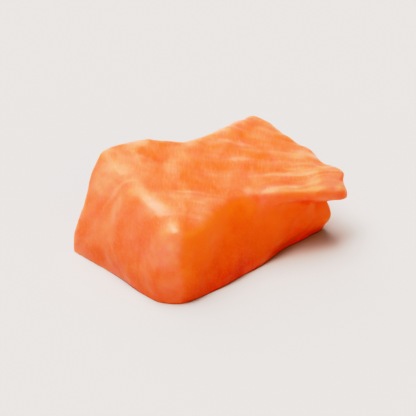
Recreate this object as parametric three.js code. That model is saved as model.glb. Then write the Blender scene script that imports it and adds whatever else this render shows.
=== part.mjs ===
// One cube of raw salmon, cut for a poke bowl: a soft-edged block of flesh with curved sheets of fat running
// down through it. Millimetres, +Z up. It rests on its flat cut underside. The long cut side runs along X and
// faces -Y, the short cut side faces -X, and the origin is under the middle of the block.

import * as THREE from "three";
import { mergeVertices } from "three/addons/utils/BufferGeometryUtils.js";

// Driving dimensions of the knife cuts.
const LENGTH = 36.6; // foot of the long cut side
const WIDTH = 23.3; // foot of the short cut side
const HEIGHT = 13.4; // top face above the underside
const BACK_TAPER = 2.9; // the foot is this much narrower at its right end than at its left

// The four upright edges. "lean" is how far the crown of each stands off its foot in X, Y and Z. The plan
// radii round the edge itself, at its foot and its crown, and "rim" is the radius of the top edge beside it.
const CORNERS = {
  frontLeft: { lean: [2.6, 1.0, 0], footRadius: 5.3, crownRadius: 4.2, rim: 3.4 },
  frontRight: { lean: [-2.6, -2.3, -0.6], footRadius: 1.3, crownRadius: 0.7, rim: 0.6 },
  backRight: { lean: [-0.8, -2.2, 1.3], footRadius: 1.8, crownRadius: 1.6, rim: 1.0 },
  backLeft: { lean: [8.4, 1.5, 2.0], footRadius: 1.3, crownRadius: 1.4, rim: 1.1 },
};
const FOOT_RIM = 1.0; // radius of the edge round the underside

// Slumping of the cut faces.
const TOP_CROWN = 0.5;
const LEFT_BELLY = 1.0;
const FRONT_BELLY = 0.5;
const RIGHT_BELLY = 0.5;
const RIGHT_BOW = 1.5; // the top edge of the right end is bowed out
const FOOT_SPREAD = 2.1; // the foot of the long side is pressed out
const FRONT_HOLLOW = 2.7; // and its top edge is drawn in before the middle of its length
const FRONT_HOLLOW_AT = 0.44; // share of the length
const BACK_HOLLOW = 2.7; // the back side is drawn in beyond the middle of its length
const BACK_SWELL = 1.6;

// At the right end the top layer has torn loose along the long side and juts out over it as a flap.
const FLAP = {
  start: 19.6, // along X from the left end
  lipReach: 3.7, // how far the lower lip stands out at the end
  crownReach: 4.2, // and the top of the flap
  underside: 9.7, // height of the lip at the end
  droop: 2.4, // how far the top of the flap sinks at the corner
  overhang: 1.5, // how far the flap sticks out past the right end
  root: 9, // the tear dies out this far from the long side
  corner: 10, // its corner takes up this much of the length
};
const NOTCH = { depth: 0.8, halfHeight: 1.6 }; // under the lip, where two flakes have parted
const LUMP = { reach: 1.6, height: 3.5 }; // the flesh below the notch bulges out at the corner
const CREASE = { fromEnd: 3.6, depth: 0.9, halfWidth: 1.3 }; // upright, in the long side under the lip

// The sheets of fat between the muscle blocks: near-vertical, spreading like a fan from the right end.
const SHEETS = {
  heading: THREE.MathUtils.degToRad(-42.3), // the way that a sheet runs, from +X
  start: -0.9, // how far the middle sheet lies off the origin, across the sheets
  turn: -0.14, // and how much further for each millimetre along it
  curl: 0.0155, // and how much that turn grows, per millimetre
  spacing: 5.3, // in the middle of the block
  fan: 0.17, // how much the spacing shrinks for each millimetre along a sheet
  leastSpacing: 1.8,
  slant: 0.3, // sideways shift for each millimetre of height
  furrow: 0.42, // depth of the furrow where a sheet meets a cut face, below the muscle that swells between
  flakeStep: 0.5, // how far the torn right end steps from one flake to the next
};
const WAVE = { height: 0.22, length: 10 }; // the hand-cut unevenness of every face

// Divisions of the surface, about 0.9 mm apart and closer at the edges.
const DIVISIONS = { x: 38, y: 26, z: 22 };
const EDGE_CROWDING = 0.55;
const RELAX_ROUNDS = 3;

const { smoothstep, lerp, clamp } = THREE.MathUtils;
const HALF = new THREE.Vector3(LENGTH / 2, WIDTH / 2, HEIGHT / 2);

// A smooth bump: 1 at the centre, falling to 0 at the half width and beyond.
function bump(distance, halfWidth) {
  const t = clamp(1 - Math.abs(distance) / halfWidth, 0, 1);
  return t * t * (3 - 2 * t);
}

// Draws a division of the block from -1 to 1 nearer to the two ends.
function crowd(t) {
  return lerp(t, Math.sin((t * Math.PI) / 2), EDGE_CROWDING);
}

// A value between those of the four upright edges, at u along the length and v across the width.
function between(u, v, valueOf) {
  const front = lerp(valueOf(CORNERS.frontLeft), valueOf(CORNERS.frontRight), u);
  const back = lerp(valueOf(CORNERS.backLeft), valueOf(CORNERS.backRight), u);
  return lerp(front, back, v);
}

// How far along, across and up the block a point of the plain box lies, from 0 to 1.
function shares(point) {
  return [point.x / HALF.x, point.y / HALF.y, point.z / HALF.z].map((t) => (t + 1) / 2);
}

// Rounds the upright edges in plan, then rolls the rims over in the upright plane.
function roundEdges(point) {
  const [u, v, w] = shares(point);
  const plan = lerp(
    between(u, v, (c) => c.footRadius),
    between(u, v, (c) => c.crownRadius),
    w,
  );
  const rim = point.z > 0 ? between(1 - (1 - u) ** 2.5, v, (c) => c.rim) : FOOT_RIM;
  const reach = new THREE.Vector3(HALF.x - plan, HALF.y - plan, HALF.z);
  const inner = point.clone().clamp(reach.clone().negate(), reach);
  const out = point.clone().sub(inner).divideScalar(plan);
  out.set(out.x * Math.sqrt(1 - out.y ** 2 / 2), out.y * Math.sqrt(1 - out.x ** 2 / 2), 0);
  out.multiplyScalar(plan);
  const side = out.length();
  const overRim = side - (plan - rim);
  const aboveRim = Math.abs(point.z) - (HALF.z - rim);
  const rolled = overRim > 0 && aboveRim > 0 ? rim / Math.hypot(overRim, aboveRim) : 1;
  if (rolled < 1) out.setLength(plan - rim + overRim * rolled);
  inner.add(out);
  if (rolled < 1) inner.z = Math.sign(point.z) * (HALF.z - rim + aboveRim * rolled);
  return inner;
}

// Leans the four upright edges, tapers the back and slumps the faces. The foot's front left corner is at 0, 0.
function lean(point) {
  const [u, v, w] = shares(point);
  const moved = point.clone().add(HALF);
  moved.x += w * between(u, v, (c) => c.lean[0]);
  moved.y += w * between(u, v, (c) => c.lean[1]) - BACK_TAPER * u * v;
  moved.z += w * between(u, v, (c) => c.lean[2]);
  const middle = 4 * u * (1 - u);
  const waist = 4 * w * (1 - w);
  moved.z += TOP_CROWN * w * middle * 4 * v * (1 - v);
  moved.x -= LEFT_BELLY * (1 - u) ** 2 * waist;
  moved.x += u ** 2 * (RIGHT_BELLY * waist + RIGHT_BOW * w * 4 * v * (1 - v));
  moved.y -= FRONT_BELLY * (1 - v) * middle * waist;
  moved.y -= FOOT_SPREAD * (1 - v) * (1 - w) * bump(u - 0.32, 0.72);
  moved.y += FRONT_HOLLOW * (1 - v) * w * bump(u - FRONT_HOLLOW_AT, 0.3);
  moved.y += v * w * (BACK_SWELL * bump(u - 0.18, 0.3) - BACK_HOLLOW * bump(u - 0.62, 0.5));
  return moved;
}

// Draws the torn layer out at the right end, and cuts the notch and the crease below it.
function tear(point) {
  const along = smoothstep(point.x, FLAP.start, LENGTH);
  const atCorner = smoothstep(point.x, LENGTH - FLAP.corner, LENGTH - 1);
  const nearFront = 1 - smoothstep(point.y, 0, FLAP.root);
  const lip = lerp(HEIGHT - 1.5, FLAP.underside, along);
  const inFlap = smoothstep(point.z, lip - 1.8, lip + 0.6);
  const rise = smoothstep(point.z, lip, HEIGHT);
  const moved = point.clone();
  moved.y -= lerp(FLAP.lipReach, FLAP.crownReach, rise) * along * nearFront * inFlap;
  moved.x += FLAP.overhang * atCorner * nearFront * inFlap;
  moved.z -= FLAP.droop * along ** 2 * inFlap * (1 - smoothstep(point.y, -2.5, 3.5));
  const notch = NOTCH.depth * bump(point.z - (lip - 1.6), NOTCH.halfHeight) * atCorner * nearFront;
  moved.y += notch * (1 - smoothstep(point.y, 0, 4));
  moved.x -= notch * smoothstep(point.x, LENGTH - 4, LENGTH - 1);
  const lump = LUMP.reach * bump(point.z - LUMP.height, LUMP.height) * atCorner;
  moved.y -= lump * (1 - smoothstep(point.y, 0, 5));
  const crease = CREASE.depth * bump(point.x - (LENGTH - CREASE.fromEnd), CREASE.halfWidth);
  const belowLip = (1 - smoothstep(point.z, lip - 2.5, lip)) * smoothstep(point.z, 0.3, 3);
  moved.y += crease * belowLip * (1 - smoothstep(point.y, 0, 3));
  return moved;
}

// Where a point lies among the sheets of fat: a whole number is on a sheet, a half is midway between two.
function amongSheets(point) {
  const run = point.x * Math.cos(SHEETS.heading) + point.y * Math.sin(SHEETS.heading);
  const across = point.y * Math.cos(SHEETS.heading) - point.x * Math.sin(SHEETS.heading);
  const z = point.z - HEIGHT;
  const ripple = 0.4 * Math.sin(run / 4.1 + 1.3 + z / 6) + 0.2 * Math.sin(run / 1.9 + across / 5);
  const spacing = Math.max(SHEETS.spacing - SHEETS.fan * run, SHEETS.leastSpacing);
  const middle = SHEETS.start + SHEETS.turn * run + SHEETS.curl * run * run;
  const fromMiddle = across - middle - SHEETS.slant * z + ripple;
  return { number: fromMiddle / spacing, spacing };
}

// A repeatable number from -1 to 1 for each flake between two sheets.
function flakeDraw(flake) {
  return Math.sin(flake * 12.9898 + 4.1) * Math.cos(flake * 3.7);
}

// How far the surface stands out from the smooth cut at a point.
function relief(point, normal) {
  const { number, spacing } = amongSheets(point);
  const flake = Math.floor(number);
  const share = number - flake;
  const rightEnd = smoothstep(point.x, HALF.x * 0.3, HALF.x * 0.95);
  const marked = lerp(0.5, 1, rightEnd);
  const swell = (SHEETS.furrow * (1 - Math.cos(2 * Math.PI * share)) * spacing) / SHEETS.spacing / 2;
  const step = lerp(flakeDraw(flake), flakeDraw(flake + 1), smoothstep(share, 0.3, 1));
  const torn = SHEETS.flakeStep * step * rightEnd * clamp(normal.x, 0, 1);
  const k = (2 * Math.PI) / WAVE.length;
  const wave = Math.sin(k * point.x + 0.7 * Math.sin(k * point.y) + 1.1) * Math.cos(k * (0.83 * point.y + point.z));
  return marked * swell + torn + WAVE.height * wave;
}

// Moves every vertex of a geometry by a function of its place.
function reshape(geometry, change) {
  const place = geometry.getAttribute("position");
  const point = new THREE.Vector3();
  for (let i = 0; i < place.count; i += 1) {
    point.fromBufferAttribute(place, i);
    const moved = change(point, i);
    place.setXYZ(i, moved.x, moved.y, moved.z);
  }
  return geometry;
}

// Evens the surface out: each vertex goes halfway to the mean of its neighbours. The flat underside stays flat.
function relax(geometry, rounds) {
  const place = geometry.getAttribute("position");
  const corners = geometry.index.array;
  const near = Array.from({ length: place.count }, () => new Set());
  corners.forEach((vertex, i) => {
    const face = i - (i % 3);
    near[vertex].add(corners[face + ((i + 1) % 3)]).add(corners[face + ((i + 2) % 3)]);
  });
  for (let round = 0; round < rounds; round += 1) {
    const before = Array.from({ length: place.count }, (_, i) => new THREE.Vector3().fromBufferAttribute(place, i));
    before.forEach((point, i) => {
      const mean = new THREE.Vector3();
      near[i].forEach((j) => mean.add(before[j]));
      const moved = point.clone().lerp(mean.divideScalar(near[i].size), 0.5);
      place.setXYZ(i, moved.x, moved.y, point.z < 1e-6 ? point.z : moved.z);
    });
  }
  return geometry;
}

// Puts the origin under the middle of the block.
function centreOnFoot(geometry) {
  geometry.computeBoundingBox();
  const { min, max } = geometry.boundingBox;
  return geometry.translate(-(min.x + max.x) / 2, -(min.y + max.y) / 2, -min.z);
}

// The cut block: a box that is rounded, leant, torn and given the relief of its flakes.
function makeCube() {
  const box = new THREE.BoxGeometry(2, 2, 2, DIVISIONS.x, DIVISIONS.y, DIVISIONS.z);
  box.deleteAttribute("normal");
  box.deleteAttribute("uv");
  const block = mergeVertices(box, 1e-5);
  reshape(block, (p) => {
    const spread = new THREE.Vector3(crowd(p.x), crowd(p.y), crowd(p.z)).multiply(HALF);
    return tear(lean(roundEdges(spread)));
  });
  relax(centreOnFoot(block), RELAX_ROUNDS);
  block.computeVertexNormals();
  const normals = block.getAttribute("normal").clone();
  const normal = new THREE.Vector3();
  reshape(block, (p, i) => {
    normal.fromBufferAttribute(normals, i);
    const offFloor = smoothstep(p.z, 0, 1.6);
    const moved = p.clone().addScaledVector(normal, relief(p, normal) * offFloor);
    moved.z = Math.max(moved.z, 0);
    return moved;
  });
  return centreOnFoot(relax(block, 1));
}

const flesh = new THREE.MeshStandardMaterial({ color: 0xf28a4c, roughness: 0.38, metalness: 0 });
const cube = new THREE.Mesh(makeCube(), flesh);
cube.name = "salmon_cube";

const part = new THREE.Group();
part.add(cube);
export default part;
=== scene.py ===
# %% [markdown]
# One cube of raw salmon, cut for a poke bowl
#
# A bite-size block of fillet, about 37 x 31 x 16 mm. Raw salmon is muscle in thin curved layers, called
# flakes, with a pale sheet of fat and connective tissue between one flake and the next. A knife cut shows
# the sheets as cream-coloured lines. The flesh lets light in: red travels far through it, and blue hardly
# at all, so shaded sides turn deep orange instead of grey. The surface is wet.
#
# The solid of the block is packed already, and sets its size and outline. This script adds what the eye
# sees: a fine skin over that solid, with furrows, flakes, fibres and a torn corner, and the look of the
# flesh. Blender counts in metres, but the forms of a bite of food are easier to think of in millimetres,
# so the skin is shaped in millimetres and shrunk at the end.

import math

import bpy
import numpy as np
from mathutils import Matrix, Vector


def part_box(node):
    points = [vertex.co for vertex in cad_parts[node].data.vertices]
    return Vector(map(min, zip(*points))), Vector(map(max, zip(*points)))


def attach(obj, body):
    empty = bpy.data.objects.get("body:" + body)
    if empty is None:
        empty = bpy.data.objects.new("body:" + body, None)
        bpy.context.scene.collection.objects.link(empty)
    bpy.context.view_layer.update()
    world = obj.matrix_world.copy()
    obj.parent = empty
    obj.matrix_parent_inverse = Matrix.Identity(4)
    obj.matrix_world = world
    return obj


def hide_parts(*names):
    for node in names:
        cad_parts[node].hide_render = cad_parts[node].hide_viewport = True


MM = 0.001

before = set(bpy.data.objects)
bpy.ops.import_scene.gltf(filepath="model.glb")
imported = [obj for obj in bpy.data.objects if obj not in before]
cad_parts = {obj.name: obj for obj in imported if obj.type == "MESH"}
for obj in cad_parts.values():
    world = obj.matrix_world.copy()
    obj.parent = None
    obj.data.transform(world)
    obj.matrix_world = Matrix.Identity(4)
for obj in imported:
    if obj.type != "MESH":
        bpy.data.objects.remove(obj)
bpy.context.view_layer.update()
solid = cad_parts["salmon_cube"]
box_low, box_high = (np.array(corner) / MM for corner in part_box("salmon_cube"))
print("the block is", np.round(box_high - box_low, 1), "mm, with", len(solid.data.polygons), "faces")

# %% [markdown]
# Colours, and a soft step
#
# Colours are written as sRGB hex, as a colour picker shows them, and one function turns them to the linear
# values that the renderer adds and multiplies. The soft step is needed wherever one thing fades into
# another: its two numbers are where the rise begins and where it is complete.

# %% Colours, and a soft step
def to_linear(hex_colour):
    """The linear red, green, blue and alpha of an sRGB hex colour."""
    shares = [int(hex_colour[i : i + 2], 16) / 255 for i in (1, 3, 5)]
    return [c / 12.92 if c <= 0.04045 else ((c + 0.055) / 1.055) ** 2.4 for c in shares] + [1.0]


def smooth_step(values, low, high):
    """0 below low, 1 above high, and a smooth rise between."""
    t = np.clip((values - low) / (high - low), 0, 1)
    return t * t * (3 - 2 * t)


print("middle grey, #808080, is", round(to_linear("#808080")[0], 3), "in linear light")

# %% [markdown]
# The camera
#
# The photograph looks at the corner between the short cut side and the long one, from 32.5 degrees above
# the surface. Its perspective is that of a lens about 65 cm away. The camera keeps that distance, so the
# faces narrow as they do there, and a long lens brings the block up to two thirds of the picture.

# %% The camera
AZIMUTH, ELEVATION = math.radians(-42.3), math.radians(32.5)
AIM = Vector((0, 0, 7)) * MM
CAMERA_DISTANCE = 650 * MM
PICTURE_WIDTH = 69 * MM  # what the picture's width covers at the block

to_camera = Vector((
    math.sin(AZIMUTH) * math.cos(ELEVATION),
    -math.cos(AZIMUTH) * math.cos(ELEVATION),
    math.sin(ELEVATION),
))
camera = bpy.data.objects.new("camera", bpy.data.cameras.new("camera"))
bpy.context.scene.collection.objects.link(camera)
camera.location = AIM + to_camera * CAMERA_DISTANCE
camera.rotation_euler = to_camera.to_track_quat("Z", "Y").to_euler()
camera.data.lens = camera.data.sensor_width * CAMERA_DISTANCE / PICTURE_WIDTH
camera.data.clip_start = CAMERA_DISTANCE / 100
bpy.context.scene.camera = camera
print(f"the lens is {camera.data.lens:.0f} mm")

# %% [markdown]
# A fine skin over the solid
#
# The solid has a point about every millimetre, too few for furrows half a millimetre wide. Subdividing it
# would crowd points at the edges and leave them sparse on the faces. A voxel remesh lays an even net
# instead, 0.2 mm from point to point, after one subdivision has taken the facets off. Everything after
# this only moves its points.

# %% A fine skin over the solid
NET_SIZE = 0.2  # mm
WELD_REACH = 0.001  # mm, under which two corners of the solid's faces are one point


def fine_skin(source):
    """A mesh in millimetres with an even net of points over the source's surface."""
    rough = bpy.data.meshes.new("rough_skin")
    corners = np.array([v.co for v in source.data.vertices]) / MM
    faces = [tuple(p.vertices) for p in source.data.polygons]
    rough.from_pydata([tuple(c) for c in corners], [], faces)
    holder = bpy.data.objects.new("rough_skin", rough)
    bpy.context.scene.collection.objects.link(holder)
    weld = holder.modifiers.new("weld", "WELD")
    weld.merge_threshold = WELD_REACH
    rounding = holder.modifiers.new("rounding", "SUBSURF")
    rounding.levels = rounding.render_levels = 1
    net = holder.modifiers.new("net", "REMESH")
    net.mode = "VOXEL"
    net.voxel_size = NET_SIZE
    bpy.context.view_layer.update()
    result = bpy.data.meshes.new_from_object(holder.evaluated_get(bpy.context.evaluated_depsgraph_get()))
    bpy.data.objects.remove(holder)
    bpy.data.meshes.remove(rough)
    return result


skin = fine_skin(solid)
skin.name = "salmon_flesh"
POINTS = len(skin.vertices)
print("the skin has", POINTS, "points and", sum(len(p.vertices) - 2 for p in skin.polygons), "triangles")

# %% [markdown]
# Evening out, and which way the skin faces
#
# Two tools work over the whole net at once. One evens out any quantity, by moving each point's value
# towards the mean of its neighbours: on places it is Blender's Smooth modifier, and on a field of numbers
# it softens a mark's border. The other finds which way the skin faces. Counting with bincount adds up the
# neighbours of all the points in one step, where a loop over a hundred thousand points would take
# minutes.

# %% Evening out, and which way the skin faces
edges = np.empty(2 * len(skin.edges), int)
skin.edges.foreach_get("vertices", edges)
edge_start, edge_end = edges.reshape(-1, 2).T
neighbours = np.bincount(edges, minlength=POINTS)
quads = np.array([tuple(p.vertices) for p in skin.polygons])


def even_out(values, rounds):
    """Moves the value at each point halfway to the mean of its neighbours, a number of times."""
    columns = values.reshape(POINTS, -1).T.copy()
    for _ in range(rounds):
        for i, column in enumerate(columns):
            around = np.bincount(edge_start, column[edge_end], POINTS)
            around += np.bincount(edge_end, column[edge_start], POINTS)
            columns[i] = (column + around / neighbours) / 2
    return columns.T.reshape(values.shape)


def facing(points):
    """The unit normal at each point."""
    corners = points[quads]
    across_quads = np.cross(corners[:, 2] - corners[:, 0], corners[:, 3] - corners[:, 1])
    total = np.zeros((POINTS, 3))
    for axis in range(3):
        total[:, axis] = sum(np.bincount(quads[:, k], across_quads[:, axis], POINTS) for k in range(4))
    return total / np.linalg.norm(total, axis=1, keepdims=True)


print("a point has", neighbours.min(), "to", neighbours.max(), "neighbours on the net")

# %% [markdown]
# Soft relief, and what lies near a spot
#
# Soft random relief of a chosen length comes from a sum of plane waves in random directions. Unlike a
# noise texture it works on all the points at once, and the same seed always gives the same relief. The
# second tool gives a share that is 1 at a spot of the block and fades around it, like the soft circle of
# a sculpting brush.

# %% Soft relief, and what lies near a spot
def waves(points, length, seed, count=20):
    """Soft random relief about `length` from crest to crest, mostly between -1 and 1."""
    draw = np.random.default_rng(seed)
    total = np.zeros(len(points))
    for _ in range(count):
        way = draw.normal(size=3)
        way *= 2 * math.pi / np.linalg.norm(way) / length / draw.uniform(0.75, 1.35)
        total += np.sin(points @ way + draw.uniform(0, 2 * math.pi))
    return total / math.sqrt(count)


def near(points, spot, reach):
    """1 at a spot, fading to nothing about `reach` from it."""
    return np.exp(-2 * (np.linalg.norm(points - np.array(spot), axis=1) / reach) ** 2)


print("half a reach away from a spot the share is", near(np.array([[0.5, 0, 0]]), (0, 0, 0), 1).round(2)[0])

# %% [markdown]
# Where each point lies among the sheets of fat
#
# The sheets run down through the whole block, so the lines on the top and on the sides have to meet at
# the edges. That comes for free when the pattern is worked out in the solid and not on each face: a
# number grows steadily across the flakes, and is whole where a sheet is. The same sheets gave the packed
# solid its shallow furrows. They spread like a fan from the torn corner, and each has a slow and a quick
# ripple, since no sheet is cut quite straight.

# %% Where each point lies among the sheets of fat
HEADING = math.radians(-42.3)  # the way that a sheet runs, from +X
START, TURN, CURL = -0.9, -0.14, 0.0155  # mm, the route of the middle sheet on the top of the block
SPACING = 5.3  # mm from sheet to sheet in the middle of the block
FAN = 0.17  # how much the spacing shrinks for each millimetre along a sheet
LEAST_SPACING = 1.8
SLANT = 0.3  # mm sideways for each millimetre of height
TOP = 13.4  # mm, the height that the route is given for
SLOW_RIPPLE, SLOW_LENGTH, SLOW_DEPTH, SLOW_START = 0.4, 4.1, 6, 1.3  # mm, and the start in radians
QUICK_RIPPLE, QUICK_LENGTH, QUICK_BREADTH = 0.2, 1.9, 5
NET_ROUNDS = 4  # of evening out, to take off the steps of the voxel net


def among_sheets(points):
    """Along a sheet, across the sheets and the number of each point, and the spacing there."""
    x, y, z = points.T
    run = x * math.cos(HEADING) + y * math.sin(HEADING)
    across = y * math.cos(HEADING) - x * math.sin(HEADING)
    below_top = z - TOP
    ripple = SLOW_RIPPLE * np.sin(run / SLOW_LENGTH + SLOW_START + below_top / SLOW_DEPTH)
    ripple += QUICK_RIPPLE * np.sin(run / QUICK_LENGTH + across / QUICK_BREADTH)
    middle = START + TURN * run + CURL * run**2 + SLANT * below_top
    spacing = np.maximum(SPACING - FAN * run, LEAST_SPACING)
    return run, across, (across - middle + ripple) / spacing, spacing


places = np.empty(3 * POINTS)
skin.vertices.foreach_get("co", places)
places = even_out(places.reshape(-1, 3), NET_ROUNDS)
run, across, sheet, spacing = among_sheets(places)
to_sheet = (sheet - np.round(sheet)) * spacing
print("sheets", int(sheet.min()), "to", int(sheet.max()), "cross the block")

# %% [markdown]
# Crisp edges
#
# Subdividing and remeshing have rounded every edge more than a knife does. A bevel can't be taken back,
# and creased edges don't outlive a remesh. But whatever stands out from its evened surroundings can be
# pushed out further, which is the Smooth modifier run backwards. The torn flap at the end of the long
# side gets the most of it. The hollow below the flap and the foot get none.

# %% Crisp edges
CRISPNESS, TORN_CRISPNESS = 0.4, 0.9
SURROUNDINGS = 30  # rounds of evening out, which reach about a millimetre
TORN = (14, 21)  # mm along the sheets: where the flesh begins to be torn, and where it is wholly torn
HOLLOW_TOP, FLAP_EDGE, OFF_FLOOR = (6, 9), (8, 11), (0.1, 1.6)  # mm of height, over which each fades in

smooth_facing = facing(places)
height = places[:, 2]
off_floor = smooth_step(height, *OFF_FLOOR)
from_mean = places - even_out(places, SURROUNDINGS)
bulge = np.einsum("ij,ij->i", from_mean, smooth_facing)
torn = smooth_step(run, *TORN)
above_hollow = np.where(torn > 0, smooth_step(height, *HOLLOW_TOP) + 1 - torn, 1).clip(0, 1)
crispness = CRISPNESS + (TORN_CRISPNESS - CRISPNESS) * torn * smooth_step(height, *FLAP_EDGE)
places = places + from_mean * (crispness * off_floor * above_hollow)[:, None]
print(f"the edges stand out by up to {bulge.max():.2f} mm, and by {TORN_CRISPNESS:.0%} more where torn")

# %% [markdown]
# Touches
#
# No rule gives the accidents of one cut: a nick, a pressed foot, a corner that stands up. In sculpt mode
# each would be one stroke of the Grab brush. Here each is a line that can be read and changed: the spot
# that is taken hold of, how far it is drawn, and how far around the pull reaches, all in millimetres.

# %% Touches
HAND_TOUCHES = {
    "the torn corner comes to a point": ((17.9, -12.5, 12.4), (0.9, -0.8, 0.3), 2.2),
    "and there is a nick behind it": ((17.2, -9.3, 13.4), (-0.6, -0.4, -0.5), 2.6),
    "the flesh below the flap is drawn in": ((16.4, -12.4, 4.2), (-0.5, 0.4, 0.0), 4.0),
    "the far corner stands up": ((16.2, 6.5, 14.9), (0.3, 0.5, 0.3), 2.5),
    "the back edge is raised": ((-1.5, 12.0, 15.0), (0.0, 0.2, 0.5), 3.5),
    "and dented beside that": ((3.2, 9.2, 15.0), (0.0, -0.2, -0.4), 2.5),
    "the back corner stands up": ((-8.0, 13.6, 14.6), (0.0, 0.6, 0.3), 2.6),
    "the right end swells": ((17.3, -5.0, 14.0), (0.35, 0.0, 0.2), 3.0),
    "the tip of the flap is blunt": ((16.6, -15.1, 12.0), (-0.5, 0.4, 0.0), 2.6),
    "the long foot is drawn in": ((7.9, -9.8, 0.0), (0.0, 0.5, 0.0), 4.5),
    "so is the short one": ((-17.9, 1.2, 0.0), (0.4, 0.0, 0.0), 4.5),
    "the left foot is pressed out": ((-16.6, 14.2, 0.8), (-0.8, 0.5, 0.0), 4.0),
}
untouched = places
for spot, pull, reach in HAND_TOUCHES.values():
    places = places + near(places, spot, reach)[:, None] * np.array(pull)
furthest = np.linalg.norm(places - untouched, axis=1).max()
print(len(HAND_TOUCHES), f"touches move the skin by up to {furthest:.1f} mm")

# %% [markdown]
# Where the sheets show
#
# A sheet of fat doesn't show as one even line. It comes and goes over about a centimetre, and is plainest
# near the torn corner, where the sheets lie close together. One field of numbers says how plain they are
# at each point, and both the furrows below and the pale lines of the material follow it.

# %% Where the sheets show
MARK_LENGTH = 11  # mm from one plain stretch to the next
MARKS_FROM, MARKS_FULL = -0.6, 0.6  # the relief's values that become 0 and 1
FAINT_END = 0.45  # how plain the sheets are at the end where they lie far apart
FAINT_TO_PLAIN = (0, 12)  # mm along the sheets
BARE_SPOT, BARE_REACH, BARENESS = (-11.5, 5.0, 14.6), 3.5, 0.9  # mm, a stretch of the rim without a line

marked = smooth_step(waves(places, MARK_LENGTH, seed=3), MARKS_FROM, MARKS_FULL)
marked *= FAINT_END + (1 - FAINT_END) * smooth_step(run, *FAINT_TO_PLAIN)
marked *= 1 - BARENESS * near(places, BARE_SPOT, BARE_REACH)
print(f"the sheets are more than half as plain as they can be on {(marked > 0.5).mean():.0%} of the skin")

# %% [markdown]
# The relief
#
# A knife leaves a wet cut that is smooth but never flat. From coarse to fine: the sway of a hand cut and
# its ripples, small steps from one flake to the next with a narrow furrow at the sheet, the bundles of
# fibres that run from sheet to sheet, and frayed rims, worst where the flesh is torn. A Displace modifier
# could make the sway, but couldn't follow the sheets. So the relief is one height for each point, along
# the way that the smooth cut faces, and it dies out towards the underside.

# %% The relief
SWAY, SWAY_LENGTH = 0.10, 7  # mm, height and length
RIPPLE, RIPPLE_LENGTH = 0.035, 2.6
FLAKE_STEP, STEP_WIDTH = 0.06, 0.6
FURROW_DEPTH, FURROW_WIDTH = 0.11, 0.35
BUNDLE_RELIEF, BUNDLE_THICKNESS, BUNDLE_LENGTH = 0.006, 0.8, 4.5  # of fibres
FRAYING, FRAYING_LENGTH = 0.10, 1.7
TORN_FRAYING, SHRED_WIDTH, SHRED_HEIGHT = 0.15, 1.1, 3.0
RIM_BULGE = (0.06, 0.3)  # mm that a rim stands out, from where it begins to fray to where it does fully
LEVELS = 64  # more than there are flakes
LEVEL_DRAW = np.random.default_rng(11).normal(size=LEVELS)

height = places[:, 2]
flake = np.round(sheet).astype(int) + LEVELS // 2 - 1
past_sheet = smooth_step(to_sheet, -STEP_WIDTH / 2, STEP_WIDTH / 2)
level = LEVEL_DRAW[flake] + (LEVEL_DRAW[flake + 1] - LEVEL_DRAW[flake]) * past_sheet
furrow = np.exp(-((to_sheet / FURROW_WIDTH) ** 2)) * marked
rim = smooth_step(bulge, *RIM_BULGE)
bundle_space = np.stack([run / BUNDLE_THICKNESS, across / BUNDLE_LENGTH, height / BUNDLE_THICKNESS], 1)
shred_space = np.stack([run / SHRED_WIDTH, across / SHRED_WIDTH, height / SHRED_HEIGHT], 1)
relief = (
    SWAY * waves(places, SWAY_LENGTH, seed=1)
    + RIPPLE * waves(places, RIPPLE_LENGTH, seed=2)
    + FLAKE_STEP * level
    - FURROW_DEPTH * furrow
    + BUNDLE_RELIEF * waves(bundle_space, 1, seed=5, count=40)
    + FRAYING * rim * waves(places, FRAYING_LENGTH, seed=6)
    + TORN_FRAYING * rim * torn * waves(shred_space, 1, seed=8)
)
places = places + (relief * off_floor)[:, None] * smooth_facing
print(f"the relief stands from {relief.min():.2f} to {relief.max():.2f} mm off the smooth cut")

# %% [markdown]
# The foot
#
# Soft flesh doesn't stand on a sharp edge. Near the surface that it rests on, the wall turns under by a
# third of a millimetre, and the last of it settles flat. Without this the block looks like a hard tile,
# with a black gap all round its foot.

# %% The foot
FOOT_DRAW = 0.3  # mm, how far the foot is drawn in
FOOT_WALL = (0.5, 4)  # mm of height, over which that dies out
FOOT_FLAT, FOOT_ROUNDING = 0.3, 1.3  # mm, the heights between which the foot rounds off
FOOT_CURVE = 1.5  # above 1, so that the rounding leaves the surface gently

drawn_in = FOOT_DRAW * (1 - smooth_step(places[:, 2], *FOOT_WALL))
places[:, :2] -= drawn_in[:, None] * smooth_facing[:, :2]
settled = np.clip((places[:, 2] - FOOT_FLAT) / (FOOT_ROUNDING - FOOT_FLAT), 0, 1)
places[:, 2] *= settled**FOOT_CURVE
print((places[:, 2] == 0).sum(), "points lie on the surface below")

# %% [markdown]
# Where shade is painted on the long side
#
# A fillet is not one colour, and here shade is painted in as well. The long side faces away from the lamps,
# and its shade is painted into its colour as a deeper orange, up to the upright edge that it shares with
# the short side. The torn flap above it is left out, and painted pale. Painting this by hand would need a
# picture wrapped over the block. A field of numbers does it here, and follows from the shape: which way the
# smooth cut faces, and how high and how far along a point is.

# %% Where shade is painted on the long side
FLAP_HEIGHT = (8, 10)  # mm
FACING_FRONT = (0.6, 0.92)  # the share of a point's normal that points to the front
PAST_EDGE = (0.8, 0.97)  # the same, as a share of its parts to the left and to the front
SHADE_ROUNDS = 8  # of evening out, which soften its border
TINY = 0.001  # keeps a point that faces straight up from dividing by nothing

flap = torn * smooth_step(places[:, 2], *FLAP_HEIGHT)
to_left, to_front = np.clip(-smooth_facing[:, :2].T, 0, 1)
past_edge = smooth_step(to_front / (np.hypot(to_left, to_front) + TINY), *PAST_EDGE)
# painted shade: the long side faces away from the lamps, and is painted a deeper orange
painted_shade_side = even_out(smooth_step(to_front, *FACING_FRONT) * past_edge * (1 - flap), SHADE_ROUNDS)
print(f"the long side is {(painted_shade_side > 0.5).mean():.0%} of the skin")
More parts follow.
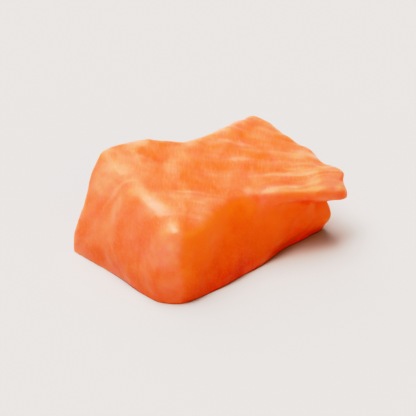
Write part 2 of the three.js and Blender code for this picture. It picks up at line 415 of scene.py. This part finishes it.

# %% [markdown]
# Where sheen is painted
#
# Edges and torn flesh are painted paler, partly because they are full of fat, and partly as painted light:
# a painted sheen and glow for light that catches them from two sides and shines through where they are
# thin. The short side, the upright corner and a few spots by the wet corner get painted sheen and highlight
# too. Most of this follows from the shape: how far a point stands out, and which side or edge it is on. The
# rest is given as one soft spot for each pale place, and the palest claim on a point is the one that
# counts.

# %% Where sheen is painted
# painted sheen on the short side, and a painted glow on the torn flap
SHORT_SIDE_SHEEN, FLAP_GLOW = 0.44, 0.8
EDGE_BULGE = (0.0, 0.07)  # mm
BOTH_WAYS = (0.3, 0.9)  # twice the normal's part to the left times its part to the front
FACING_LEFT = (0.5, 0.9)
# painted sheen and highlight, a soft spot each: the place and how far it reaches, in mm, and how pale it is
SHEEN_SPOTS = {
    "the far end of the short side, at the top": ((-12.8, 11.4, 12.8), 4.8, 2.5),
    "the near edge of the short side": ((-16.4, -8.8, 8.6), 4.7, 2.6),
    "the rim behind it": ((-13.0, -1.0, 14.1), 3.6, 1.0),
    "the near corner of the top": ((-8.6, -7.4, 13.3), 4.0, 1.6),
    "the far end of the long side": ((16.0, -11.0, 5.0), 5.0, 1.6),
    "the top of the flap": ((13.0, -10.5, 12.9), 4.5, 1.2),
    "the top behind the flap": ((15.2, -5.5, 13.7), 4.0, 0.9),
}
SHEEN_ROUNDS = 10
SHADED_SIDE_LOSS = 0.6  # how much of the painted sheen the long side, in painted shade, loses

bulging_edge = smooth_step(bulge, *EDGE_BULGE)
upright_edge = smooth_step(2 * to_left * to_front, *BOTH_WAYS)
short_side = smooth_step(to_left, *FACING_LEFT)
sheen_places = [bulging_edge, upright_edge, SHORT_SIDE_SHEEN * short_side, FLAP_GLOW * flap]
sheen_places += [paleness * near(places, spot, reach) for spot, reach, paleness in SHEEN_SPOTS.values()]
# painted sheen and glow: the palest claim on each point, softened, and less on the long side
painted_sheen = even_out(np.maximum.reduce(sheen_places), SHEEN_ROUNDS) * (1 - SHADED_SIDE_LOSS * painted_shade_side)
print(f"{(painted_sheen > 0.5).mean():.0%} of the skin is pale")

# %% [markdown]
# Handing the skin and its fields to Blender
#
# The finish needs to know where the sheets are, which way the fibres run, and where shade and sheen are
# painted. All that goes along with the mesh as attributes, numbers stored at each point, and not as a
# picture: they stay sharp at any size. The underside is shaded flat and the rest smooth, which keeps a
# crisp line where the wall meets it.

# %% Handing the skin and its fields to Blender
ON_FLOOR = 0.02  # mm, below which a face belongs to the underside

skin.vertices.foreach_set("co", (places * MM).ravel())
fields = {
    "sheet": ("FLOAT", "value", sheet),
    "spacing": ("FLOAT", "value", spacing),
    "marked": ("FLOAT", "value", marked),
    "painted_shade_side": ("FLOAT", "value", painted_shade_side),
    "painted_sheen": ("FLOAT", "value", painted_sheen),
    "grain": ("FLOAT_VECTOR", "vector", np.stack([run, across, places[:, 2]], 1)),
}
for name, (kind, part, values) in fields.items():
    skin.attributes.new(name, kind, "POINT").data.foreach_set(part, values.ravel().astype(np.float32))
underside = (places[quads][:, :, 2] < ON_FLOOR).all(1)
skin.polygons.foreach_set("use_smooth", ~underside)
skin.update()

flesh_piece = bpy.data.objects.new("salmon_flesh", skin)
bpy.context.scene.collection.objects.link(flesh_piece)
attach(flesh_piece, "root")
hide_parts("salmon_cube")
print("the piece spans", [round(d / MM, 2) for d in flesh_piece.dimensions], "mm")

# %% [markdown]
# The flesh
#
# Raw salmon muscle, cut and wet. Its colour comes from carotenoids, the pigments of the shrimp that the
# fish eats. The material is a chain of mixes, from the muscle's own colour to the fat on top of it, with
# painted shade on the long side and painted sheen on the edges among them. Vertex colours could hold the
# same pattern, but only as finely as the net, while a chain of nodes stays sharp between the points. One
# small function adds a node, so that each link of the chain is one statement.

# %% The flesh, and a helper that adds a node
FOOT_SHADE_PAINT = "#b84810"  # painted shade, the darkest, at the foot of the long side
SHADED_SIDE_PAINT = "#fa852e"  # painted shade, a deep orange, on the rest of the long side
FLESH_DEEP = "#f66632"  # the deeper patches of the other sides
FLESH_MID = "#f86a44"  # and the paler ones
FLESH_LIGHT = "#fa7e64"  # layers, fibres, and flesh that is soaked with fat
# painted sheen, glow and highlight on edges, the short side, the upright corner and the flap
SHEEN_PAINT = "#fba690"
FAT = "#ffc4c4"
COLOUR_A, COLOUR_B, MIXED = 6, 7, 2  # the colour sockets of a Mix node: its two inputs and its output


def add(tree, kind, settings=None, links=None):
    """Adds a node, sets its properties and inputs, and links its inputs to other nodes or sockets."""
    node = tree.nodes.new(kind)
    for name, value in (settings or {}).items():
        if isinstance(name, str) and hasattr(node, name):
            setattr(node, name, value)
        else:
            node.inputs[name].default_value = value
    for name, source in (links or {}).items():
        tree.links.new(getattr(source, "outputs", [source])[0], node.inputs[name])
    return node


flesh = bpy.data.materials.new("raw_salmon_muscle")
flesh.use_nodes = True
tree = flesh.node_tree
tree.nodes.clear()
grain_field = add(tree, "ShaderNodeAttribute", {"attribute_name": "grain"}).outputs["Vector"]
split = add(tree, "ShaderNodeSeparateXYZ", {}, {0: grain_field})
along_grain, height_field = split.outputs[0], split.outputs[2]
sheet_field = add(tree, "ShaderNodeAttribute", {"attribute_name": "sheet"}).outputs["Fac"]
spacing_field = add(tree, "ShaderNodeAttribute", {"attribute_name": "spacing"}).outputs["Fac"]
marked_field = add(tree, "ShaderNodeAttribute", {"attribute_name": "marked"}).outputs["Fac"]
painted_shade_side_field = add(tree, "ShaderNodeAttribute", {"attribute_name": "painted_shade_side"}).outputs["Fac"]
painted_sheen_field = add(tree, "ShaderNodeAttribute", {"attribute_name": "painted_sheen"}).outputs["Fac"]
print("the material reads", len(fields), "fields of the skin")

# %% [markdown]
# How far each point is from a sheet of fat
#
# Fat has no sharp border. A noise makes each sheet waver within a flake, about every 2 mm. Rounding the
# number of the sheet finds the nearest one, and the spacing turns what is left over into millimetres. A
# second noise lets each sheet come and go along its length, and every sheet reads a lane of its own in
# it. A noise stays mostly between 0.3 and 0.7, so a Map Range spreads the part that is wanted.

# %% How far each point is from a sheet of fat
WAVER_LENGTH = 1.8  # mm
WAVER = 0.36  # of a flake, from one side to the other
STRETCH = 5.0  # mm, how long a sheet stays plain or faint
LANE = 37.0  # far enough apart for no two sheets to be alike
PLAIN_NOISE, FAINTEST = (0.38, 0.64), 0.08

waver = add(
    tree,
    "ShaderNodeTexNoise",
    {"Scale": 1 / WAVER_LENGTH, "Detail": 4.0, "Roughness": 0.6},
    {"Vector": grain_field},
)
waver_share = add(
    tree,
    "ShaderNodeMath",
    {"operation": "MULTIPLY_ADD", 1: WAVER, 2: -WAVER / 2},
    {0: waver},
)
wavering = add(tree, "ShaderNodeMath", {"operation": "ADD"}, {0: sheet_field, 1: waver_share})
nearest = add(tree, "ShaderNodeMath", {"operation": "ROUND"}, {0: wavering})
off_sheet = add(tree, "ShaderNodeMath", {"operation": "SUBTRACT"}, {0: wavering, 1: nearest})
off_share = add(tree, "ShaderNodeMath", {"operation": "ABSOLUTE"}, {0: off_sheet})
distance = add(tree, "ShaderNodeMath", {"operation": "MULTIPLY"}, {0: off_share, 1: spacing_field})

own_row = add(tree, "ShaderNodeMath", {"operation": "MULTIPLY", 1: LANE}, {0: nearest})
lane = add(tree, "ShaderNodeCombineXYZ", {}, {0: along_grain, 1: own_row, 2: height_field})
strength = add(tree, "ShaderNodeTexNoise", {"Scale": 1 / STRETCH, "Detail": 2.0}, {"Vector": lane})
plain = add(
    tree,
    "ShaderNodeMapRange",
    {"From Min": PLAIN_NOISE[0], "From Max": PLAIN_NOISE[1], "To Min": FAINTEST},
    {"Value": strength},
)
plain_here = add(tree, "ShaderNodeMath", {"operation": "MULTIPLY"}, {0: plain, 1: marked_field})
print("the sheets take", len(tree.nodes), "nodes so far")

# %% [markdown]
# The line and its soft rim
#
# Where a sheet is cut it shows as a line, half a millimetre wide where it is faint and more than one
# where it is plain. The flesh beside it is soaked with fat, and stays paler until halfway to the next
# sheet. Each is a Map Range from the distance, with a smooth fall, so no border shows.

# %% The line and its soft rim
FAINT_WIDTH, PLAIN_WIDTH = 0.5, 1.2  # mm, from the middle of the line to where it has faded
HALFWAY = 0.5  # of a flake

width = add(
    tree,
    "ShaderNodeMath",
    {"operation": "MULTIPLY_ADD", 1: PLAIN_WIDTH - FAINT_WIDTH, 2: FAINT_WIDTH},
    {0: plain_here},
)
core = add(
    tree,
    "ShaderNodeMapRange",
    {"interpolation_type": "SMOOTHSTEP", "To Min": 1.0, "To Max": 0.0},
    {"Value": distance, "From Max": width},
)
line = add(tree, "ShaderNodeMath", {"operation": "MULTIPLY"}, {0: core, 1: plain_here})
soaked = add(
    tree,
    "ShaderNodeMapRange",
    {"interpolation_type": "SMOOTHSTEP", "From Max": HALFWAY, "To Min": 1.0, "To Max": 0.0},
    {"Value": off_share},
)
soaked_here = add(tree, "ShaderNodeMath", {"operation": "MULTIPLY"}, {0: soaked, 1: plain_here})
print("a line is", 2 * FAINT_WIDTH, "to", 2 * PLAIN_WIDTH, "mm wide, faded rims included")

# %% [markdown]
# The muscle, and painted shade on the long side
#
# Patches a few millimetres wide vary its colour. Shade is painted on the long side, darker, and darkest in
# the middle of its foot, with a border that the same patches fray. A gradient alone would look like paint.

# %% The muscle, and painted shade on the long side
PATCH_SIZE = 6.25  # mm
PATCH_NOISE = (0.35, 0.65)
SHADE_DARKEST = 5.0  # mm along the grain, where the painted shade at the foot of the long side is darkest
SIDEWAYS = 0.5  # mm of height that a millimetre away from there counts for
FRAY = 14.0  # mm of height between the noise's 0 and 1
FOOT_SHADE_BELOW, SIDE_SHADE_ABOVE = 8.0, 19.0  # mm of height, after those two have been added to it
# how strongly shade is painted on the long side
PAINTED_SHADE_SHARE = 0.75

patches = add(
    tree,
    "ShaderNodeTexNoise",
    {"Scale": 1 / PATCH_SIZE, "Detail": 4.0, "Roughness": 0.6},
    {"Vector": grain_field},
)
patch_share = add(
    tree,
    "ShaderNodeMapRange",
    {"From Min": PATCH_NOISE[0], "From Max": PATCH_NOISE[1]},
    {"Value": patches},
)
body = add(
    tree,
    "ShaderNodeMix",
    {"data_type": "RGBA", COLOUR_A: to_linear(FLESH_DEEP), COLOUR_B: to_linear(FLESH_MID)},
    {0: patch_share},
)
past_darkest_shade = add(tree, "ShaderNodeMath", {"operation": "SUBTRACT", 1: SHADE_DARKEST}, {0: along_grain})
off_darkest_shade = add(tree, "ShaderNodeMath", {"operation": "ABSOLUTE"}, {0: past_darkest_shade})
raised = add(
    tree,
    "ShaderNodeMath",
    {"operation": "MULTIPLY_ADD", 1: SIDEWAYS},
    {0: off_darkest_shade, 2: height_field},
)
frayed = add(tree, "ShaderNodeMath", {"operation": "MULTIPLY_ADD", 1: FRAY}, {0: patches, 2: raised})
height_share = add(
    tree,
    "ShaderNodeMapRange",
    {"From Min": FOOT_SHADE_BELOW, "From Max": SIDE_SHADE_ABOVE},
    {"Value": frayed},
)
# painted shade on the long side, darkest at its foot
red = add(
    tree,
    "ShaderNodeMix",
    {"data_type": "RGBA", COLOUR_A: to_linear(FOOT_SHADE_PAINT), COLOUR_B: to_linear(SHADED_SIDE_PAINT)},
    {0: height_share},
)
# painted shade goes over the long side, and the layers and lines of fat fade there
painted_shade_share = add(
    tree,
    "ShaderNodeMath",
    {"operation": "MULTIPLY", 1: PAINTED_SHADE_SHARE},
    {0: painted_shade_side_field},
)
off_painted_shade = add(tree, "ShaderNodeMath", {"operation": "SUBTRACT", 0: 1.0}, {1: painted_shade_share})
sided = add(
    tree,
    "ShaderNodeMix",
    {"data_type": "RGBA"},
    {0: painted_shade_share, COLOUR_A: body.outputs[MIXED], COLOUR_B: red.outputs[MIXED]},
)
print("the muscle brings it to", len(tree.nodes), "nodes")

# %% [markdown]
# Layers
#
# Within a flake run thin paler layers, along the sheets. They are a noise in a space that is squeezed
# across the flakes and drawn out along them. It is squeezed by the number of the sheet, so the layers
# bend and fan as the sheets do.

# %% Layers
LAYER_LENGTH, LAYERS_A_FLAKE, LAYER_DEPTH = 6.25, 2.6, 5.0  # mm along, how many, mm down
LAYER_NOISE, LAYER_SHARE = (0.4, 0.72), 0.42

layer_space = add(tree, "ShaderNodeCombineXYZ", {}, {0: along_grain, 1: sheet_field, 2: height_field})
layer_way = add(
    tree,
    "ShaderNodeVectorMath",
    {"operation": "MULTIPLY", 1: (1 / LAYER_LENGTH, LAYERS_A_FLAKE, 1 / LAYER_DEPTH)},
    {0: layer_space},
)
layers = add(
    tree,
    "ShaderNodeTexNoise",
    {"Scale": 1.0, "Detail": 3.0, "Roughness": 0.5},
    {"Vector": layer_way},
)
layer_peak = add(
    tree,
    "ShaderNodeMapRange",
    {"From Min": LAYER_NOISE[0], "From Max": LAYER_NOISE[1], "To Max": LAYER_SHARE},
    {"Value": layers},
)
layer_share = add(tree, "ShaderNodeMath", {"operation": "MULTIPLY"}, {0: layer_peak, 1: off_painted_shade})
layered = add(
    tree,
    "ShaderNodeMix",
    {"data_type": "RGBA", COLOUR_B: to_linear(FLESH_LIGHT)},
    {0: layer_share, COLOUR_A: sided.outputs[MIXED]},
)
print("a layer is about", round(SPACING / LAYERS_A_FLAKE, 1), "mm thick in the middle of the block")

# %% [markdown]
# Fibres
#
# The muscle's fibres run from sheet to sheet, so across the layers. Real ones are about a tenth of a
# millimetre thick, too fine to show here, so they are drawn three times as thick. They could be lines of
# a Wave texture, but those would be too even: a noise that is drawn out across the sheets breaks them up.

# %% Fibres
FIBRE_THICKNESS, FIBRE_LENGTH = 0.31, 2.0  # mm
FIBRE_NOISE, FIBRE_SHARE = (0.45, 0.75), 0.45

fibre_way = add(
    tree,
    "ShaderNodeVectorMath",
    {"operation": "MULTIPLY", 1: (1 / FIBRE_THICKNESS, 1 / FIBRE_LENGTH, 1 / FIBRE_THICKNESS)},
    {0: grain_field},
)
fibres = add(tree, "ShaderNodeTexNoise", {"Scale": 1.0, "Detail": 3.0}, {"Vector": fibre_way})
fibre_share = add(
    tree,
    "ShaderNodeMapRange",
    {"From Min": FIBRE_NOISE[0], "From Max": FIBRE_NOISE[1], "To Max": FIBRE_SHARE},
    {"Value": fibres},
)
fibrous = add(
    tree,
    "ShaderNodeMix",
    {"data_type": "RGBA", COLOUR_B: to_linear(FLESH_LIGHT)},
    {0: fibre_share, COLOUR_A: layered.outputs[MIXED]},
)
print("a fibre is drawn", FIBRE_THICKNESS, "mm thick and", FIBRE_LENGTH, "mm long")

# %% [markdown]
# Soaked flesh, painted sheen, fat
#
# Last come the pale marks, each over the one before it. The painted sheen of the edges is broken up by the
# patches and drawn into streaks by the layers, as torn fibres are. The fat comes on top. It is nearly
# white, but a thin sheet over orange flesh lets that through, so less than a quarter of its colour is
# enough. On the long side, which is painted in shade, the lines of fat fade, as the layers do.

# %% Soaked flesh, painted sheen, fat
SOAKED_SHARE, SHEEN_SHARE, FAT_SHARE = 0.48, 0.75, 0.22
PATCHY = 0.6  # how much the patches add to the streaks of the painted sheen

soaked_share = add(tree, "ShaderNodeMath", {"operation": "MULTIPLY", 1: SOAKED_SHARE}, {0: soaked_here})
paler = add(
    tree,
    "ShaderNodeMix",
    {"data_type": "RGBA", COLOUR_B: to_linear(FLESH_LIGHT)},
    {0: soaked_share, COLOUR_A: fibrous.outputs[MIXED]},
)
streaky = add(
    tree,
    "ShaderNodeMath",
    {"operation": "MULTIPLY_ADD", 1: PATCHY},
    {0: patches, 2: layer_peak},
)
sheen_here = add(tree, "ShaderNodeMath", {"operation": "MULTIPLY"}, {0: painted_sheen_field, 1: streaky})
sheen_share = add(tree, "ShaderNodeMath", {"operation": "MULTIPLY", 1: SHEEN_SHARE}, {0: sheen_here})
# the painted sheen and highlight go over the edges, the short side and the flap
sheened = add(
    tree,
    "ShaderNodeMix",
    {"data_type": "RGBA", COLOUR_B: to_linear(SHEEN_PAINT)},
    {0: sheen_share, COLOUR_A: paler.outputs[MIXED]},
)
line_here = add(tree, "ShaderNodeMath", {"operation": "MULTIPLY"}, {0: line, 1: off_painted_shade})
fat_share = add(tree, "ShaderNodeMath", {"operation": "MULTIPLY", 1: FAT_SHARE}, {0: line_here})
marbled = add(
    tree,
    "ShaderNodeMix",
    {"data_type": "RGBA", COLOUR_B: to_linear(FAT)},
    {0: fat_share, COLOUR_A: sheened.outputs[MIXED]},
)
print("the colour takes", len(tree.nodes), "nodes in all")

# %% [markdown]
# Wet, and lit from within
#
# Light enters the flesh, wanders and leaves again: red after several millimetres, green after one, blue
# after less. That is what subsurface scattering does, with one distance for each colour. Flesh is mostly
# water, so its IOR is 1.36, and the film of moisture on top has the IOR of water, 1.33. Both follow the
# relief of the cut and mirror softly, and the flesh's gloss, light and shade show the fibres again.
#
# Light that leaves by the underside comes back from a pale surface, but the renderer loses it, which
# would darken the foot. So light is let in less far there.

# %% Wet, and lit from within
REACH, FOOT_REACH = 9 * MM, 0.4 * MM  # how far red light travels in the flesh, and at its foot
REACH_HEIGHT = 4.0  # mm, above which the foot no longer counts
COLOUR_REACH = (1.0, 0.12, 0.03)  # red, green and blue, as shares of the reach
SMOOTHEST, ROUGHEST = 0.24, 0.46
FIBRE_HEIGHT, FIBRE_SHADE = 0.08 * MM, 0.4
FLESH_IOR, WATER_IOR = 1.36, 1.33

gloss = add(tree, "ShaderNodeMapRange", {"To Min": SMOOTHEST, "To Max": ROUGHEST}, {"Value": fibres})
bump = add(
    tree,
    "ShaderNodeBump",
    {"Strength": FIBRE_SHADE, "Distance": FIBRE_HEIGHT},
    {"Height": fibres},
)
reach_here = add(
    tree,
    "ShaderNodeMapRange",
    {"interpolation_type": "SMOOTHSTEP", "From Max": REACH_HEIGHT, "To Min": FOOT_REACH, "To Max": REACH},
    {"Value": height_field},
)
surface = add(
    tree,
    "ShaderNodeBsdfPrincipled",
    {
        "IOR": FLESH_IOR,
        "Subsurface Weight": 1.0,
        "Subsurface Radius": COLOUR_REACH,
        "Specular IOR Level": 0.3,
        "Coat Weight": 0.55,
        "Coat Roughness": 0.28,
        "Coat IOR": WATER_IOR,
    },
    {
        "Base Color": marbled.outputs[MIXED],
        "Roughness": gloss,
        "Normal": bump,
        "Subsurface Scale": reach_here,
    },
)
add(tree, "ShaderNodeOutputMaterial", {}, {"Surface": surface})
skin.materials.clear()
skin.materials.append(flesh)
green_reach = REACH * COLOUR_REACH[1]
print("red light travels about", round(REACH / MM), "mm, and green", round(green_reach / MM, 1), "mm")

# %% [markdown]
# The floor
#
# A plain pale floor, painted matt, without a sheen of its own. It is three metres wide, so that in most
# views no edge shows.

# %% The floor
FLOOR_SIZE = 3.0
FLOOR_PAINT = "#bcb6b4"
FLOOR_ROUGHNESS = 0.9

half = FLOOR_SIZE / 2
floor_corners = [(-half, -half, 0), (half, -half, 0), (half, half, 0), (-half, half, 0)]
floor_mesh = bpy.data.meshes.new("floor")
floor_mesh.from_pydata(floor_corners, [], [(0, 1, 2, 3)])
floor = bpy.data.objects.new("floor", floor_mesh)
bpy.context.scene.collection.objects.link(floor)
floor_paint = bpy.data.materials.new("pale_matt_paint")
floor_paint.use_nodes = True
floor_shader = floor_paint.node_tree.nodes["Principled BSDF"]
floor_shader.inputs["Base Color"].default_value = to_linear(FLOOR_PAINT)
floor_shader.inputs["Roughness"].default_value = FLOOR_ROUGHNESS
floor_shader.inputs["Specular IOR Level"].default_value = 0.0
floor_mesh.materials.append(floor_paint)
print("the floor is", FLOOR_SIZE, "m wide")

# %% [markdown]
# The light
#
# Soft daylight from overhead, a little behind and to the left of the block as the camera sees it. Area
# lamps would pool their light around the block. Sun lamps light the floor evenly however far it goes, and
# a wide angle makes one as soft as a window. The long cut side turns away from them, and is lit from
# within and by a warm fill, which stands for the light of warm surroundings. A faint cool lamp adds a
# little green and blue to the short side, and a narrower one from above gives the wet corner its glint.

# %% The light
SKY = 0.3
WHITE, COOL, WARM = (1, 1, 1), (0.4, 1, 1), (1, 0.65, 0.02)
# the way towards the lamp, as up, to the picture's right and away from the camera, then how many degrees
# across it is, its strength and its colour
LAMPS = {
    "overhead_lamp": ((0.92, -0.2, 0.1), 46, 1.9, WHITE),
    "back_lamp": ((0.5, -0.4, 0.8), 50, 0.6, WHITE),
    "left_lamp": ((0.25, -0.75, -1.15), 45, 0.18, COOL),
    "glint_lamp": ((0.92, -0.3, -0.23), 25, 0.9, WHITE),
    "warm_fill": ((0.3, 0.4, -0.8), 50, 0.4, WARM),
}
LAMP_DISTANCE = 0.5  # m, anywhere will do, since only a sun lamp's direction counts
picture_up = Vector((0, 0, 1))
picture_right = Vector((math.cos(AZIMUTH), math.sin(AZIMUTH), 0))
picture_away = Vector((-math.sin(AZIMUTH), math.cos(AZIMUTH), 0))

floor_light = np.full(3, math.pi * SKY)
for name, ((up, right, away), spread, lamp_strength, colour) in LAMPS.items():
    way = (picture_up * up + picture_right * right + picture_away * away).normalized()
    lamp = bpy.data.objects.new(name, bpy.data.lights.new(name, "SUN"))
    bpy.context.scene.collection.objects.link(lamp)
    lamp.location = AIM + way * LAMP_DISTANCE
    lamp.rotation_euler = way.to_track_quat("Z", "Y").to_euler()
    lamp.data.angle = math.radians(spread)
    lamp.data.energy = lamp_strength
    lamp.data.color = colour
    floor_light += lamp_strength * way.z * np.array(colour)
print(len(LAMPS), "lamps and the sky put", floor_light.round(2), "of red, green and blue on the floor")

# %% [markdown]
# The sky and the backdrop
#
# Soft white light comes in from all round. But a camera ray that misses the floor has to see something as
# bright as the lit floor, or a horizon would cut through the low views. The world can be both: the Light
# Path node tells camera rays from the others.

# %% The sky and the backdrop
world = bpy.data.worlds.new("studio")
world.use_nodes = True
bpy.context.scene.world = world
lit_floor = [float(share * light / math.pi) for share, light in zip(to_linear(FLOOR_PAINT), floor_light)]
sky = world.node_tree.nodes["Background"]
sky.inputs["Strength"].default_value = SKY
sky.inputs["Color"].default_value = (*WHITE, 1)
backdrop = add(world.node_tree, "ShaderNodeBackground", {"Color": (*lit_floor, 1), "Strength": 1.0})
ray = add(world.node_tree, "ShaderNodeLightPath")
either = add(world.node_tree, "ShaderNodeMixShader", {}, {0: ray, 1: sky, 2: backdrop})
world.node_tree.links.new(either.outputs[0], world.node_tree.nodes["World Output"].inputs["Surface"])
print("the lit floor's red, green and blue are", [round(share, 2) for share in lit_floor])

# %% [markdown]
# The photograph's contrast
#
# A camera doesn't record light in proportion. Its contrast curve lifts the middle tones, rolls off the
# bright ones and deepens the dark ones, in each colour apart. On salmon that keeps red bright even on the
# shaded side while blue all but vanishes, which is why photographed salmon glows. The same curve goes
# into Blender's colour management, under Use Curves, from scene light to the light of the picture.

# %% The photograph's contrast
DARK_TONES = ((0.03, 0.001), (0.06, 0.015), (0.1, 0.07))
MIDDLE_TONES = ((0.2, 0.26), (0.3, 0.49), (0.4, 0.65))
BRIGHT_TONES = ((0.5, 0.735), (0.65, 0.82), (0.85, 0.9))
BRIGHTEST = 0.93
ALL_COLOURS = 3  # the curve that works on red, green and blue alike

view_settings = bpy.context.scene.view_settings
view_settings.view_transform = "Standard"
view_settings.use_curve_mapping = True
curve = view_settings.curve_mapping.curves[ALL_COLOURS]
for scene_light, picture_light in DARK_TONES + MIDDLE_TONES + BRIGHT_TONES:
    curve.points.new(scene_light, picture_light)
curve.points[-1].location = (1.0, BRIGHTEST)
view_settings.curve_mapping.update()
print("the contrast curve has", len(curve.points), "points")
